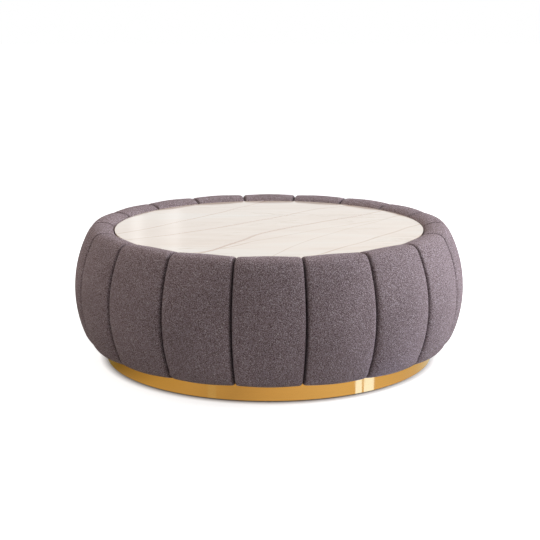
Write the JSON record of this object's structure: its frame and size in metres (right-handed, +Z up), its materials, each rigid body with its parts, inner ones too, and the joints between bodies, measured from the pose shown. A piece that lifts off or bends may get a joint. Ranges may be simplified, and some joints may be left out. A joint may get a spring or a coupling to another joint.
{
  "type": "ottoman coffee table",
  "caption": "Round ottoman coffee table: upright quilted fabric channels, a stone top that drops into the padded rim and lifts out, and a metal band round the plinth.",
  "frame": {"origin": "centre of the floor circle, on the floor under the glides", "axes": "+Z up through the middle of the stone top; -Y is the front, where a channel is centred; the band's joint is at the back, +Y"},
  "size_m": [0.9942, 0.999, 0.3444],
  "materials": {
    "channel_fabric": "matte",
    "polished_stone": "polished",
    "gold_band": "satin",
    "birch_plywood": "matte",
    "pine": "matte",
    "hardboard": "matte",
    "black_nonwoven": "matte",
    "clear_silicone": "satin",
    "black_nylon": "satin",
    "zinc_screws": "satin",
    "zinc_plate": "satin"
  },
  "bodies": {
    "base": {"base_board": "birch_plywood", "base_screws": "zinc_screws", "bracket_screws": "zinc_screws", "centre_post": "pine", "channel_pad_01": "channel_fabric", "channel_pad_02": "channel_fabric", "channel_pad_03": "channel_fabric", "channel_pad_04": "channel_fabric", "channel_pad_05": "channel_fabric", "channel_pad_06": "channel_fabric", "channel_pad_07": "channel_fabric", "channel_pad_08": "channel_fabric", "channel_pad_09": "channel_fabric", "channel_pad_10": "channel_fabric", "channel_pad_11": "channel_fabric", "channel_pad_12": "channel_fabric", "channel_pad_13": "channel_fabric", "channel_pad_14": "channel_fabric", "channel_pad_15": "channel_fabric", "channel_pad_16": "channel_fabric", "channel_pad_17": "channel_fabric", "channel_pad_18": "channel_fabric", "cross_rail_a": "pine", "cross_rail_b": "pine", "deck_board": "birch_plywood", "deck_bumpers": "clear_silicone", "deck_screws": "zinc_screws", "dust_cover": "black_nonwoven", "frame_post_1": "pine", "frame_post_2": "pine", "frame_post_3": "pine", "frame_post_4": "pine", "frame_post_5": "pine", "frame_post_6": "pine", "frame_post_7": "pine", "frame_post_8": "pine", "glide_screws": "zinc_screws", "glides": "black_nylon", "plinth_band": "gold_band", "plinth_ring": "birch_plywood", "plinth_screws": "zinc_screws", "rail_brackets": "zinc_plate", "recess_ring": "birch_plywood", "recess_ring_screws": "zinc_screws", "wall_panel_back": "hardboard", "wall_panel_front": "hardboard", "wall_panel_left": "hardboard", "wall_panel_right": "hardboard"},
    "top": {"stone_top": "polished_stone", "top_backing_board": "birch_plywood"}
  },
  "joints": [
    {"name": "top_lift", "type": "slide", "parent": "base", "child": "top", "axis": [0, 0, 1], "range_m": [0, 0.2]}
  ]
}
